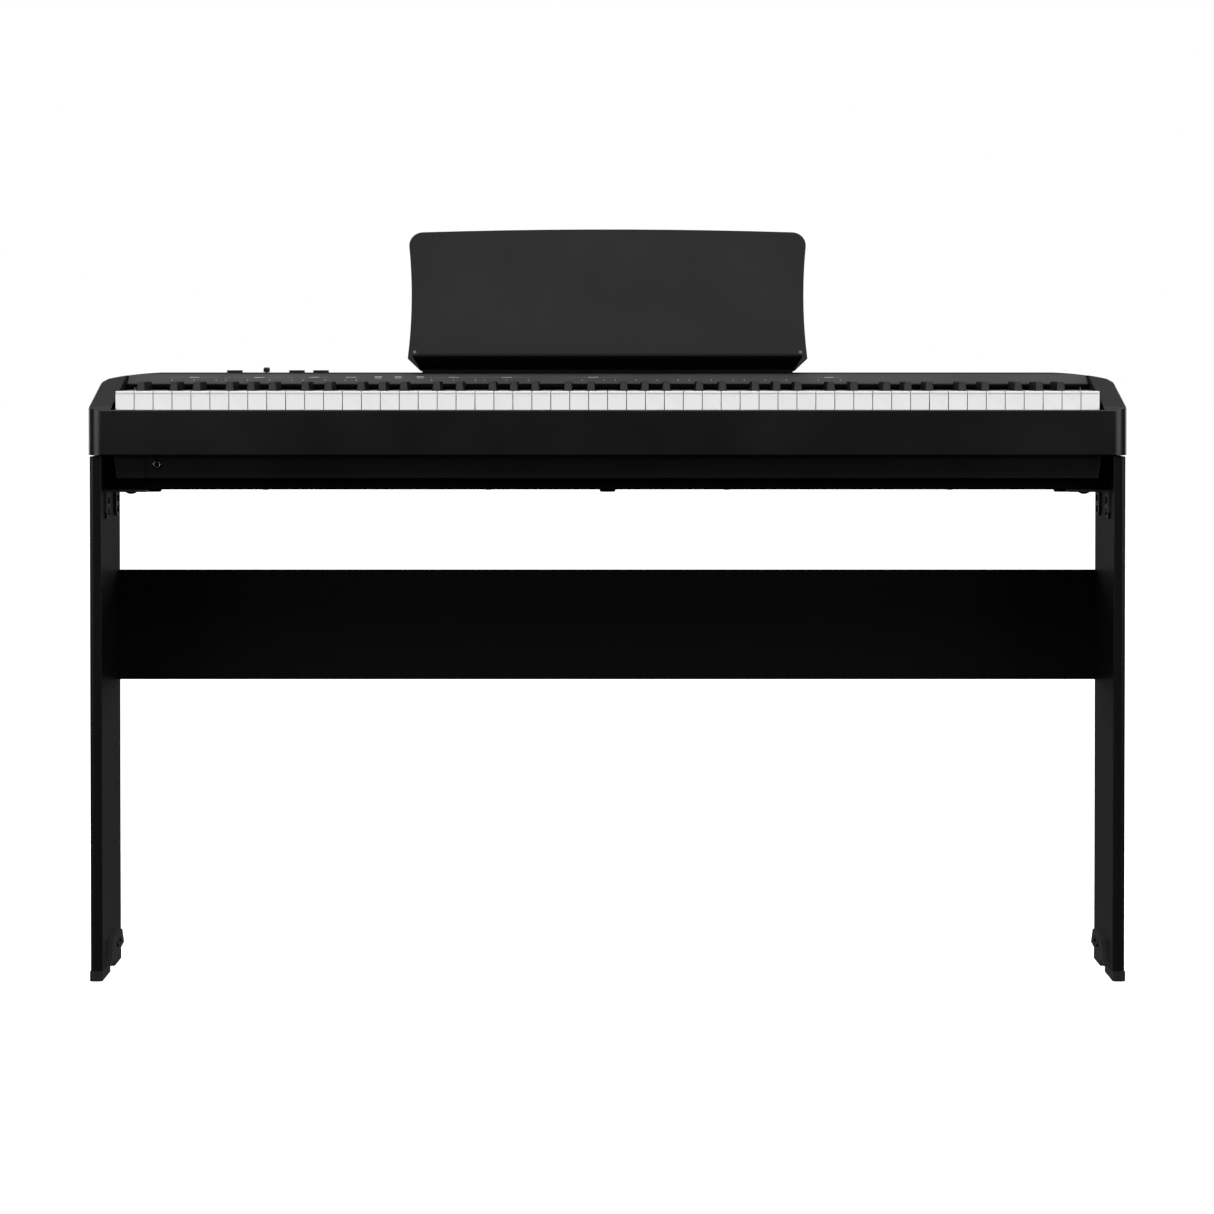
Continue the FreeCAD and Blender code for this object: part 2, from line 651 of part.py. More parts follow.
def bottom_tray():
    """The black tray that holds the works and stands on the brackets."""
    outer = box(-TRAY_HALF_W, TRAY_HALF_W, TRAY_FRONT, TRAY_REAR, CASE_BOTTOM, RAIL_BOTTOM)
    inner = TRAY_HALF_W - TRAY_WALL
    floor = CASE_BOTTOM + TRAY_WALL
    hollow = box(-inner, inner, TRAY_FRONT + TRAY_WALL, TRAY_REAR - TRAY_WALL, floor, RAIL_BOTTOM)
    cuts = [hollow]
    for side in (-1, 1):
        for i in range(-4, 5):
            x = side * SPEAKER_X + i * 9
            cuts.append(box(x - 2.5, x + 2.5, SPEAKER_Y - 32, SPEAKER_Y + 32, CASE_BOTTOM, floor))
        for y in BRACKET_YS:
            cuts.append(rod((0, 0, 1), (side * BOLT_X, y, CASE_BOTTOM), TRAY_WALL, 3.1))
    for x in SCREW_XS:
        for y in SCREW_YS:
            cuts.append(rod((0, 0, 1), (x, y, CASE_BOTTOM), TRAY_WALL, 1.7))
    wall_y, z = TRAY_REAR - TRAY_WALL, REAR_SOCKET_Z
    for x in REAR_JACK_XS:
        cuts.append(rod((0, 1, 0), (x, wall_y, z), TRAY_WALL, COLLAR_R + FIT))
    usb = USB_HALF + 2 * FIT
    cuts.append(box(USB_X - usb, USB_X + usb, wall_y, TRAY_REAR, z - usb, z + usb))
    cuts.append(rod((0, 1, 0), (DC_X, wall_y, z), TRAY_WALL, DC_COLLAR_R + FIT))
    posts = [rod((0, 0, 1), (x, y, floor), BOARD_Z - floor, 3) for x in (-110, 115) for y in (190, 262)]
    return join([outer.cut(cuts)] + posts)


def rear_jack(x):
    """A 6.35 mm socket that faces the back: collar through the tray's wall and a body on the board."""
    front = TRAY_REAR - TRAY_WALL - 22
    collar = rod((0, 1, 0), (x, TRAY_REAR - TRAY_WALL, REAR_SOCKET_Z), TRAY_WALL + 1.5, COLLAR_R)
    body = box(x - 8, x + 8, front, TRAY_REAR - TRAY_WALL, BOARD_Z + BOARD_T, REAR_SOCKET_Z + 8)
    bore = rod((0, 1, 0), (x, TRAY_REAR - 18, REAR_SOCKET_Z), 20, JACK_R)
    return join([collar, body]).cut(bore)


def usb_port():
    z = REAR_SOCKET_Z
    left, right = USB_X - USB_HALF, USB_X + USB_HALF
    body = box(left, right, TRAY_REAR - 18, TRAY_REAR + 0.5, z - USB_HALF, z + USB_HALF)
    feet = box(left, right, TRAY_REAR - 18, TRAY_REAR - 4, BOARD_Z + BOARD_T, z - USB_HALF)
    socket = box(USB_X - 4.5, USB_X + 4.5, TRAY_REAR - 11, TRAY_REAR + 1, z - 4.2, z + 4.2)
    return join([body, feet]).cut(socket)


def dc_inlet():
    z = REAR_SOCKET_Z
    collar = rod((0, 1, 0), (DC_X, TRAY_REAR - TRAY_WALL, z), TRAY_WALL + 0.5, DC_COLLAR_R)
    body = box(DC_X - 7, DC_X + 7, TRAY_REAR - 16, TRAY_REAR - TRAY_WALL, BOARD_Z + BOARD_T, z + 6)
    bore = rod((0, 1, 0), (DC_X, TRAY_REAR - 10, z), 12, 3.1)
    pin = rod((0, 1, 0), (DC_X, TRAY_REAR - 11, z), 9, 1.0)
    return join([join([collar, body]).cut(bore), pin])


def main_board():
    board = box(-125, 130, 180, 274, BOARD_Z, BOARD_Z + BOARD_T)
    top = BOARD_Z + BOARD_T
    chips = [box(x - 9, x + 9, 200, 218, top, top + 2) for x in (-70, -20, 40)]
    heat_sink = box(82, 118, 196, 226, top, top + 14)
    return join([board, heat_sink] + chips)


def speaker(x):
    """A round driver facing down: rim, basket and magnet in one turned form, and its cone."""
    z = CASE_BOTTOM + TRAY_WALL
    basket = [(30, z), (SPEAKER_R, z), (SPEAKER_R, z + 2), (38, z + 2), (22, z + 18)]
    basket += [(22, z + 32), (0, z + 32), (0, z + 18), (19, z + 18), (34, z + 2), (30, z + 2)]
    cone = [(0, z + 9), (12, z + 9), (29, z + 1), (29, z + 2.2), (12, z + 10.2), (0, z + 10.2)]
    solids = []
    for profile in (basket, cone):
        corners = [Vector(r, 0, h) for r, h in profile]
        wire = Part.makePolygon(corners + corners[:1])
        turned = Part.Face(wire).revolve(Vector(0, 0, 0), Vector(0, 0, 1), 360)
        turned.translate(Vector(x, SPEAKER_Y, 0))
        solids.append(turned)
    return solids


def rubber_feet():
    feet = []
    for x in (-FOOT_X, 0.0, FOOT_X):
        for y in (112.0, 232.0):
            start = Vector(x, y, CASE_BOTTOM - FOOT_H)
            feet.append(Part.makeCone(FOOT_R - FOOT_TAPER, FOOT_R, FOOT_H, start))
    return group(feet)


def case_screws():
    screws = []
    for x in SCREW_XS:
        for y in SCREW_YS:
            head = rod((0, 0, 1), (x, y, CASE_BOTTOM - 1.8), 1.8, 3.5)
            shank = rod((0, 0, 1), (x, y, CASE_BOTTOM), 22, 1.4)
            screws.append(join([head, shank]))
    return group(screws)


# ---- Key action ----
def rib_positions():
    """The joints between two white keys that have no black key between them, and both ends."""
    inner = [white_left(k) for k in range(1, WHITE_COUNT) if not has_black_after(k - 1)]
    return [1.5 - FRAME_HALF_W] + inner + [FRAME_HALF_W - 1.5]


def rib(x):
    """A plate across the frame that carries both rods."""
    width = 1.2
    lug_front, lug_rear = PIVOT_Y - 8, PIVOT_Y + 10
    profile = [(34, FRAME_FLOOR), (34, FRAME_TOP), (lug_front, FRAME_TOP), (lug_front, PIVOT_Z + 5)]
    profile += [(lug_rear, PIVOT_Z + 5), (lug_rear, FRAME_FLOOR)]
    plate = prism_x(profile, x - width, x + width)
    return plate.cut([rod((1, 0, 0), (x - 5, y, z), 10, ROD_R) for y, z in ROD_PLACES])


def key_frame():
    """The chassis of the action: floor, front ledge, middle bar, ribs and screw posts."""
    half = FRAME_HALF_W
    floor = box(-half, half, 53, 278, FRAME_FLOOR, FRAME_FLOOR + WALL)
    ledge_top = prism_x([(34, 702), (34, 705), (53, 705), (53, 702)], -half, half)
    front_wall = box(-half, half, 50, 53, FRAME_FLOOR, 702)
    bar = box(-half, half, 88, 108, FRAME_TOP, FRAME_TOP + 3)
    tray_floor = CASE_BOTTOM + TRAY_WALL
    posts = []
    for x in SCREW_XS:
        for y in SCREW_YS:
            post = rod((0, 0, 1), (x, y, tray_floor), FRAME_FLOOR - tray_floor, 4.5)
            posts.append(post.cut(rod((0, 0, 1), (x, y, tray_floor), 24, SCREW_BORE_R)))
    return join([floor, ledge_top, front_wall, bar] + posts + [rib(x) for x in rib_positions()])


def pivot_rods():
    """The rod that the keys turn on and the one that the hammers turn on."""
    return group([rod((1, 0, 0), (-FRAME_HALF_W, y, z), 2 * FRAME_HALF_W, ROD_R) for y, z in ROD_PLACES])


def key_felts():
    """Strips that stop the keys: one on the front ledge and one on the middle bar."""
    half = CHEEK_INNER - 2
    front = box(-half, half, 36, 50, 705, 707.5)
    middle = box(-half, half, 90, 104, FRAME_TOP + 3, FRAME_TOP + 6)
    return group([front, middle])


def hammers():
    """One weighted lever for each key, evenly spaced between the ribs."""
    profile = [(62, 696), (62, 700), (84, 700), (112, 684), (128, 684), (236, 678), (236, 664), (128, 664)]
    profile += [(112, 664), (104, 680)]
    levers = []
    ribs = rib_positions()
    for left, right in zip(ribs, ribs[1:]):
        inside = [k for k in range(WHITE_COUNT) if left < white_left(k) + 1 < right]
        count = len(inside) + sum(has_black_after(k) for k in inside)
        step = (right - left) / count
        for i in range(count):
            x = left + (i + 0.5) * step
            levers.append(prism_x(profile, x - HAMMER_W / 2, x + HAMMER_W / 2))
    bore = rod((1, 0, 0), (-CASE_W / 2, HAMMER_Y, HAMMER_Z), CASE_W, ROD_R + ROD_CLEARANCE)
    return group([lever.cut(bore) for lever in levers])


def key_sensor_board():
    """A long board on the ribs, with a pair of rubber domes under each white key."""
    board = box(-600, 600, 195, 240, FRAME_TOP, FRAME_TOP + BOARD_T)
    domes = []
    for k in range(WHITE_COUNT):
        x = white_left(k) + WHITE_PITCH / 2
        if abs(x) < 598:
            domes.append(Part.makeCone(4, 2.5, 4, Vector(x, 215, FRAME_TOP + BOARD_T)))
    return join([board] + domes)


# ---- Stand ----
def leg():
    """The right leg: a board with its front edges eased, drilled for the back rail."""
    board = box(LEG_INNER, LEG_INNER + LEG_T, LEG_FRONT, LEG_REAR, LEG_BOTTOM, LEG_TOP)
    outer = LEG_INNER + LEG_T
    board = round_edges(board, LEG_OUTER_R, lambda b: near(b.YMax, LEG_FRONT) and near(b.XMin, outer))
    board = round_edges(board, BOARD_EDGE_R, lambda b: near(b.XMax, LEG_INNER))
    cuts = [rail_bolt(z, FIT) for z in RAIL_BOLT_ZS]
    cuts += [screw_hole(y, z) for y in BRACKET_YS for z in BRACKET_SCREW_ZS]
    cuts += [screw_hole(y, z) for y, z in STABILISER_SCREWS]
    return board.cut(cuts)


def back_rail():
    low, high = BACK_RAIL_Z
    board = box(-LEG_INNER, LEG_INNER, BACK_RAIL_Y, BACK_RAIL_Y + BACK_RAIL_T, low, high)
    board = round_edges(board, BOARD_EDGE_R, lambda b: b.XLength > LEG_INNER)
    cuts = [rail_bolt(z, FIT) for z in RAIL_BOLT_ZS]
    return board.cut(cuts + [mirrored(cut) for cut in cuts])


def rail_bolt(z, clearance):
    """A bolt from the leg's outer face into the end of the back rail."""
    y = BACK_RAIL_Y + BACK_RAIL_T / 2
    outer = LEG_INNER + LEG_T
    head = rod((-1, 0, 0), (outer, y, z), 4 + clearance, 6 + clearance)
    shank = rod((-1, 0, 0), (outer, y, z), 55, 3 + clearance)
    return join([head, shank])


def screw_hole(y, z):
    return rod((1, 0, 0), (LEG_INNER, y, z), SCREW_L, SCREW_R + 0.03)


def shoes():
    """Hard feet under the front and rear of each leg, with rounded ends."""
    x = LEG_INNER + LEG_T / 2
    solids = []
    for y0, y1 in SHOE_SPANS:
        shoe = box(x - SHOE_HALF_W, x + SHOE_HALF_W, y0, y1, 0, LEG_BOTTOM)
        shoe = round_edges(shoe, SHOE_END_R, lambda b: near(b.XLength, 0) and near(b.YLength, 0))
        solids += [shoe, mirrored(shoe)]
    return group(solids)


def stabiliser():
    """A low plate with a nose in front, screwed to the leg's inner face."""
    plate = prism_x(STABILISER_OUTLINE, LEG_INNER - STABILISER_T, LEG_INNER)
    return plate.cut([side_hole(y, z, STABILISER_T) for y, z in STABILISER_SCREWS])


def side_hole(y, z, thickness):
    return rod((1, 0, 0), (LEG_INNER - thickness, y, z), thickness, SCREW_R + 0.03)


def leg_bracket(y):
    """An L of steel plate: one flange on the leg, the other under the case."""
    low, high = CASE_BOTTOM - 2 * BRACKET_T, CASE_BOTTOM
    upright = prism_x(
        [
            (y - BRACKET_HALF, high),
            (y - BRACKET_HALF, BRACKET_LOW + 8),
            (y - BRACKET_HALF + 8, BRACKET_LOW),
            (y + BRACKET_HALF - 8, BRACKET_LOW),
            (y + BRACKET_HALF, BRACKET_LOW + 8),
            (y + BRACKET_HALF, high),
        ],
        LEG_INNER - BRACKET_T,
        LEG_INNER,
    )
    flat = box(BRACKET_REACH, LEG_INNER, y - BRACKET_HALF, y + BRACKET_HALF, low + BRACKET_T, high)
    cuts = [side_hole(y, z, BRACKET_T) for z in BRACKET_SCREW_ZS]
    cuts.append(rod((0, 0, 1), (BOLT_X, y, low), 2 * BRACKET_T, 3.3))
    return join([upright, flat]).cut(cuts)


def wood_screw(y, z, thickness):
    """A pan-head screw through a plate on the leg's inner face."""
    face_x = LEG_INNER - thickness
    head = rod((1, 0, 0), (face_x - SCREW_HEAD_T, y, z), SCREW_HEAD_T, SCREW_HEAD_R)
    head = round_edges(head, 1.2, lambda b: near(b.XMax, face_x - SCREW_HEAD_T))
    shank = rod((1, 0, 0), (face_x, y, z), thickness + SCREW_L, SCREW_R)
    return join([head, shank])


def stand_screws():
    screws = [wood_screw(y, z, BRACKET_T) for y in BRACKET_YS for z in BRACKET_SCREW_ZS]
    screws += [wood_screw(y, z, STABILISER_T) for y, z in STABILISER_SCREWS]
    return group(screws + [mirrored(screw) for screw in screws])


def thumb_bolt(y):
    """A dome-headed bolt up through the bracket into the case."""
    under = CASE_BOTTOM - BRACKET_T
    dome = Part.makeSphere(12.2, Vector(BOLT_X, y, under + 9.2), Vector(0, 0, 1), -90, 90, 360)
    dome = dome.common(rod((0, 0, 1), (BOLT_X, y, under - 5), 5, 12))
    shank = rod((0, 0, 1), (BOLT_X, y, under - 0.5), 22, 3.0)
    return join([dome, shank])


def both_sides(shapes):
    return group(shapes + [mirrored(shape) for shape in shapes])


def stand_parts():
    right_leg = leg()
    rail_bolts = [rail_bolt(z, 0) for z in RAIL_BOLT_ZS]
    return {
        "right_leg": right_leg,
        "left_leg": mirrored(right_leg),
        "back_rail": back_rail(),
        "leg_shoes": shoes(),
        "stabiliser_plates": both_sides([stabiliser()]),
        "leg_brackets": both_sides([leg_bracket(y) for y in BRACKET_YS]),
        "stand_screws": stand_screws(),
        "thumb_bolts": both_sides([thumb_bolt(y) for y in BRACKET_YS]),
        "rail_bolts": both_sides(rail_bolts),
    }


def case_parts():
    envelope = upper_envelope()
    right_cheek = cheek(envelope)
    return {
        "front_rail": front_rail(envelope),
        "right_cheek": right_cheek,
        "left_cheek": mirrored(right_cheek),
        "control_panel": control_panel(envelope),
        "rear_panel": rear_panel(),
        "lower_case": lower_case(),
        "bottom_tray": bottom_tray(),
        "rubber_feet": rubber_feet(),
        "case_screws": case_screws(),
        "power_button": button(POWER_X),
        "function_button_left": button(FUNCTION_XS[0]),
        "function_button_right": button(FUNCTION_XS[1]),
        "volume_slider": volume_slider(),
        "music_rest": music_rest(),
        "page_stops": page_stops(),
    }


def inner_parts():
    return {
        "key_frame": key_frame(),
        "pivot_rods": pivot_rods(),
        "key_felts": key_felts(),
        "hammers": hammers(),
        "key_sensor_board": key_sensor_board(),
        "control_board": control_board(),
        "main_board": main_board(),
        "speakers": group(speaker(-SPEAKER_X) + speaker(SPEAKER_X)),
        "headphone_jack": headphone_jack(),
        "rear_jacks": group([rear_jack(x) for x in REAR_JACK_XS]),
        "usb_port": usb_port(),
        "dc_inlet": dc_inlet(),
    }


def save_all(parts):
    """Writes each part with the origin under the middle of the whole object's box."""
    centre = Part.makeCompound(list(parts.values())).optimalBoundingBox().Center.y
    os.makedirs("parts", exist_ok=True)
    for name, shape in parts.items():
        shape.translate(Vector(0, -centre, 0))
        shape.exportStep("parts/" + name + ".step")
    print(len(parts), "parts, depth centre", round(centre, 3))


save_all({**key_parts(), **case_parts(), **inner_parts(), **stand_parts()})
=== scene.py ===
import json
import math

import bmesh
import bpy
from mathutils import Matrix, Vector
from mathutils.bvhtree import BVHTree

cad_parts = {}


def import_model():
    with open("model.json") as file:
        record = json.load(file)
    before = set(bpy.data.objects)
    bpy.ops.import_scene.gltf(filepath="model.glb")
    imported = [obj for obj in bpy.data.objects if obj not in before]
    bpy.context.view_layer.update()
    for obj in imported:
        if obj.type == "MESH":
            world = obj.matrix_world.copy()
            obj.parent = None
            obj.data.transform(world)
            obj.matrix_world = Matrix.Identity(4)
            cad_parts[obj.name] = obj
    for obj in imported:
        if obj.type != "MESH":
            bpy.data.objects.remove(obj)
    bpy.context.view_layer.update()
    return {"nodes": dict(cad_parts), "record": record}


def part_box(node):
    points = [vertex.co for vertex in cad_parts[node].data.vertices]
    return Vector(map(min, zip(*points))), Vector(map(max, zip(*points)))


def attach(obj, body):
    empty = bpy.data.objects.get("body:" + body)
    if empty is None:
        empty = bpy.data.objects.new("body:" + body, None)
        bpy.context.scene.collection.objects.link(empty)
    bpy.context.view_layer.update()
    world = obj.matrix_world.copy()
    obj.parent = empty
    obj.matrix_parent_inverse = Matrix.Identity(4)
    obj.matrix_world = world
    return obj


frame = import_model()

MM = 0.001
STATIC = "case_and_stand"


# ---- Places taken from the frame ----
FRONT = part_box("front_rail")[0].y
PANEL_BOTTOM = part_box("control_panel")[0].z


def depth(d_mm):
    """The Y of a point so many millimetres behind the front rail's face."""
    return FRONT + d_mm * MM


# ---- Node helpers ----
def new_material(name):
    mat = bpy.data.materials.new(name)
    mat.use_nodes = True
    tree = mat.node_tree
    return mat, tree, tree.nodes["Principled BSDF"]


def object_coords(tree):
    return tree.nodes.new("ShaderNodeTexCoord").outputs["Object"]


def noise(tree, scale, detail=2.0, stretch=(1, 1, 1), roughness=0.5):
    """A noise texture in object space, in metres, stretched by a mapping."""
    mapping = tree.nodes.new("ShaderNodeMapping")
    mapping.inputs["Scale"].default_value = stretch
    tree.links.new(object_coords(tree), mapping.inputs["Vector"])
    tex = tree.nodes.new("ShaderNodeTexNoise")
    tex.inputs["Scale"].default_value = scale
    tex.inputs["Detail"].default_value = detail
    tex.inputs["Roughness"].default_value = roughness
    tree.links.new(mapping.outputs["Vector"], tex.inputs["Vector"])
    return tex.outputs["Fac"]


def remap(tree, value, low, high, start=0.3, end=0.7):
    node = tree.nodes.new("ShaderNodeMapRange")
    node.inputs["From Min"].default_value = start
    node.inputs["From Max"].default_value = end
    node.inputs["To Min"].default_value = low
    node.inputs["To Max"].default_value = high
    tree.links.new(value, node.inputs["Value"])
    return node.outputs["Result"]


def tint(tree, bsdf, factor, dark, light):
    """Blends the base colour between two close tones."""
    mix = tree.nodes.new("ShaderNodeMix")
    mix.data_type = "RGBA"
    mix.inputs["A"].default_value = (*dark, 1)
    mix.inputs["B"].default_value = (*light, 1)
    tree.links.new(factor, mix.inputs["Factor"])
    tree.links.new(mix.outputs["Result"], bsdf.inputs["Base Color"])


def bump(tree, bsdf, heights):
    """Chains bumps from (height, strength, distance) onto the shader's normal."""
    normal = None
    for height, strength, distance in heights:
        node = tree.nodes.new("ShaderNodeBump")
        node.inputs["Strength"].default_value = strength
        node.inputs["Distance"].default_value = distance
        tree.links.new(height, node.inputs["Height"])
        if normal is not None:
            tree.links.new(normal, node.inputs["Normal"])
        normal = node.outputs["Normal"]
    tree.links.new(normal, bsdf.inputs["Normal"])


def component(tree, vector, axis):
    split = tree.nodes.new("ShaderNodeSeparateXYZ")
    tree.links.new(vector, split.inputs["Vector"])
    return split.outputs[axis]


def facing_up(tree):
    """How far a face looks up: one for a level top, zero for an upright face."""
    return component(tree, tree.nodes.new("ShaderNodeNewGeometry").outputs["Normal"], "Z")


def facing_sideways(tree):
    node = tree.nodes.new("ShaderNodeMath")
    node.operation = "ABSOLUTE"
    normal = tree.nodes.new("ShaderNodeNewGeometry").outputs["Normal"]
    tree.links.new(component(tree, normal, "X"), node.inputs[0])
    return node.outputs["Value"]


def paint_shade(tree, bsdf, share):
    """Paints shade into the base colour: multiplies it by a share that changes over the surface."""
    node = tree.nodes.new("ShaderNodeVectorMath")
    node.operation = "SCALE"
    tree.links.new(bsdf.inputs["Base Color"].links[0].from_socket, node.inputs["Vector"])
    tree.links.new(share, node.inputs["Scale"])
    tree.links.new(node.outputs["Vector"], bsdf.inputs["Base Color"])


def grey(level):
    return (level, level, level)


# Noise scales of a moulded face, how far its roughness drifts each way, and the pebbles' share of the grain.
BROAD_SCALE = 9.0
PEBBLE_SCALE = 480.0
FINE_SCALE = 1500.0
GLOSSIER = 0.03
DULLER = 0.04
PEBBLE_SHARE = 0.6


def moulded(name, tone, roughness, specular=0.5, grain=0.12, spread=0.12):
    """Moulded plastic with a fine spark-eroded grain and slow changes of tone and gloss."""
    mat, tree, bsdf = new_material(name)
    broad = noise(tree, BROAD_SCALE, 3.0)
    fine = noise(tree, FINE_SCALE, 2.0)
    pebble = noise(tree, PEBBLE_SCALE, 1.0)
    low = tuple(c * (1 - spread) for c in tone)
    high = tuple(c * (1 + spread) for c in tone)
    tint(tree, bsdf, remap(tree, broad, 0, 1), low, high)
    tree.links.new(remap(tree, broad, roughness - GLOSSIER, roughness + DULLER), bsdf.inputs["Roughness"])
    bsdf.inputs["Specular IOR Level"].default_value = specular
    bump(tree, bsdf, [(pebble, grain * PEBBLE_SHARE, 0.0002), (fine, grain, 0.0001)])
    return mat, tree, bsdf


def plain(*args, **settings):
    """The material alone, where nothing more is done to its nodes."""
    return moulded(*args, **settings)[0]


# ---- Materials ----
# Both tones are far paler than the case plastic, which is the same black plastic: painted light on the tops
# that face the lamps.
PANEL_TONE = 0.062
CHEEK_TONE = 0.025
# Where the slope's tone gives way to the painted shade of the level top, from front to back.
PANEL_SLOPE_END = (depth(212.5), depth(215.5))
CHEEK_SLOPE_END = (depth(183), depth(187))
# The height of the painted shadow at the panel slope's foot, and half the height over which it fades.
PANEL_SHADOW_FOOT = PANEL_BOTTOM + 0.0052
FOOT_FADE = 0.0005
# The share of its tone that each part with painted shade keeps.
LEVEL_TOP_PAINTED_SHADE = 0.12
FOOT_PAINTED_SHADOW = 0.05
UPRIGHT_PAINTED_SHADE = 0.07
UNDERSIDE_PAINTED_SHADE = 0.1
WHITE_TOP_PAINTED_SHADE = 0.95
BLACK_SIDE_PAINTED_SHADE = 0.1


def panel_plastic(name, tone, slope_end, foot=None):
    """Charcoal plastic on the slope and the cheeks.

    Painted shade darkens what lies behind the slope, the foot of the slope and the upright faces.
    """
    mat, tree, bsdf = moulded(name, grey(tone), 0.5, specular=0.06)
    # Painted shade: the level top behind the slope is darkened.
    paint_shade(tree, bsdf, remap(tree, component(tree, object_coords(tree), "Y"), 1, LEVEL_TOP_PAINTED_SHADE, *slope_end))
    if foot:
        height = component(tree, object_coords(tree), "Z")
        # Painted shadow along the slope's foot, where it meets the keys.
        paint_shade(tree, bsdf, remap(tree, height, FOOT_PAINTED_SHADOW, 1, foot - FOOT_FADE, foot + FOOT_FADE))
    # Painted shade: upright faces are darker than the slope.
    paint_shade(tree, bsdf, remap(tree, facing_up(tree), UPRIGHT_PAINTED_SHADE, 1, 0.1, 0.5))
    return mat


def rest_plastic():
    """Painted shade: the underside of the ledge is darkened in the base colour, below its faces."""
    mat, tree, bsdf = moulded("rest plastic", grey(0.0062), 0.5, specular=0.12)
    paint_shade(tree, bsdf, remap(tree, facing_up(tree), UNDERSIDE_PAINTED_SHADE, 1, -0.6, -0.1))
    return mat


# How a board's grain and pores are stretched, along it and across it.
GRAIN_ALONG = 0.35
GRAIN_ACROSS = 6
PORES_ALONG = 0.12
PORES_ACROSS = 2


def film_board(name, run, tones, gloss, specular):
    """Board in a dark film, with a long shallow grain that runs along axis 0, 1 or 2."""
    mat, tree, bsdf = new_material(name)
    grain_stretch = [GRAIN_ALONG if axis == run else GRAIN_ACROSS for axis in range(3)]
    pore_stretch = [PORES_ALONG if axis == run else PORES_ACROSS for axis in range(3)]
    grain = noise(tree, 60.0, 4.0, stretch=grain_stretch, roughness=0.6)
    pores = noise(tree, 420.0, 2.0, stretch=pore_stretch)
    tint(tree, bsdf, remap(tree, grain, 0, 1), *(grey(level) for level in tones))
    tree.links.new(remap(tree, grain, *gloss), bsdf.inputs["Roughness"])
    bsdf.inputs["Specular IOR Level"].default_value = specular
    bump(tree, bsdf, [(grain, 0.08, 0.0004), (pores, 0.15, 0.0002)])
    return mat


def white_keytop():
    """Satin white plastic: each key differs by a hair, the level tops carry a little painted shade, and the
    gloss is smudged.
    """
    mat, tree, bsdf = new_material("white keytop")
    island = tree.nodes.new("ShaderNodeNewGeometry").outputs["Random Per Island"]
    tint(tree, bsdf, island, (0.79, 0.79, 0.787), (0.815, 0.815, 0.812))
    # Painted shade: up-facing tops are a little darker.
    paint_shade(tree, bsdf, remap(tree, facing_up(tree), 1, WHITE_TOP_PAINTED_SHADE, 0.5, 0.9))
    smudge = noise(tree, 45.0, 3.0)
    tree.links.new(remap(tree, smudge, 0.14, 0.22), bsdf.inputs["Roughness"])
    bump(tree, bsdf, [(noise(tree, 220.0, 1.0), 0.03, 0.0002)])
    return mat


def black_keytop():
    """Matt black plastic with a fine grain along the key; painted shade darkens its sides below its top and
    front.
    """
    mat, tree, bsdf = new_material("black keytop")
    grain = noise(tree, 300.0, 3.0, stretch=(4, 0.25, 4))
    tint(tree, bsdf, remap(tree, grain, 0, 1), grey(0.026), grey(0.032))
    # Painted shade on the key's sides.
    paint_shade(tree, bsdf, remap(tree, facing_sideways(tree), 1, BLACK_SIDE_PAINTED_SHADE, 0.3, 0.8))
    tree.links.new(remap(tree, grain, 0.44, 0.54), bsdf.inputs["Roughness"])
    bsdf.inputs["Specular IOR Level"].default_value = 0.04
    bump(tree, bsdf, [(grain, 0.1, 0.0002)])
    return mat


def fastener():
    mat, tree, bsdf = new_material("black oxide fastener")
    bsdf.inputs["Specular IOR Level"].default_value = 0.2
    worn = noise(tree, 300.0, 3.0)
    tint(tree, bsdf, remap(tree, worn, 0, 1), grey(0.002), grey(0.005))
    tree.links.new(remap(tree, worn, 0.35, 0.5), bsdf.inputs["Roughness"])
    return mat


def plain_metal():
    mat, tree, bsdf = new_material("drawn steel")
    bsdf.inputs["Metallic"].default_value = 1.0
    lines = noise(tree, 900.0, 2.0, stretch=(0.05, 1, 1))
    tint(tree, bsdf, remap(tree, lines, 0, 1), grey(0.42), grey(0.55))
    tree.links.new(remap(tree, lines, 0.25, 0.4), bsdf.inputs["Roughness"])
    return mat


def circuit_board():
    mat, tree, bsdf = new_material("circuit board")
    pattern = remap(tree, noise(tree, 120.0, 1.0), 0, 1, 0.45, 0.55)
    tint(tree, bsdf, pattern, (0.01, 0.09, 0.04), (0.02, 0.14, 0.06))
    bsdf.inputs["Roughness"].default_value = 0.4
    return mat


def felt():
    mat, tree, bsdf = new_material("felt")
    fuzz = noise(tree, 900.0, 4.0, roughness=0.7)
    tint(tree, bsdf, remap(tree, fuzz, 0, 1), (0.10, 0.008, 0.01), (0.18, 0.02, 0.02))
    bsdf.inputs["Roughness"].default_value = 0.95
    bsdf.inputs["Sheen Weight"].default_value = 0.4
    bump(tree, bsdf, [(fuzz, 0.6, 0.0006)])
    return mat


def print_ink(name, level):
    mat, tree, bsdf = new_material(name)
    tint(tree, bsdf, remap(tree, noise(tree, 900.0, 1.0), 0, 1), grey(level * 0.9), grey(level))
    bsdf.inputs["Roughness"].default_value = 0.6
    return mat


def floor_paper():
    mat, tree, bsdf = new_material("floor paper")
    tint(tree, bsdf, remap(tree, noise(tree, 2.0, 2.0), 0, 1), grey(0.90), grey(0.92))
    bsdf.inputs["Roughness"].default_value = 0.9
    bsdf.inputs["Specular IOR Level"].default_value = 0.1
    bsdf.inputs["Emission Color"].default_value = (1, 1, 1, 1)
    bsdf.inputs["Emission Strength"].default_value = FLOOR_GLOW
    return mat


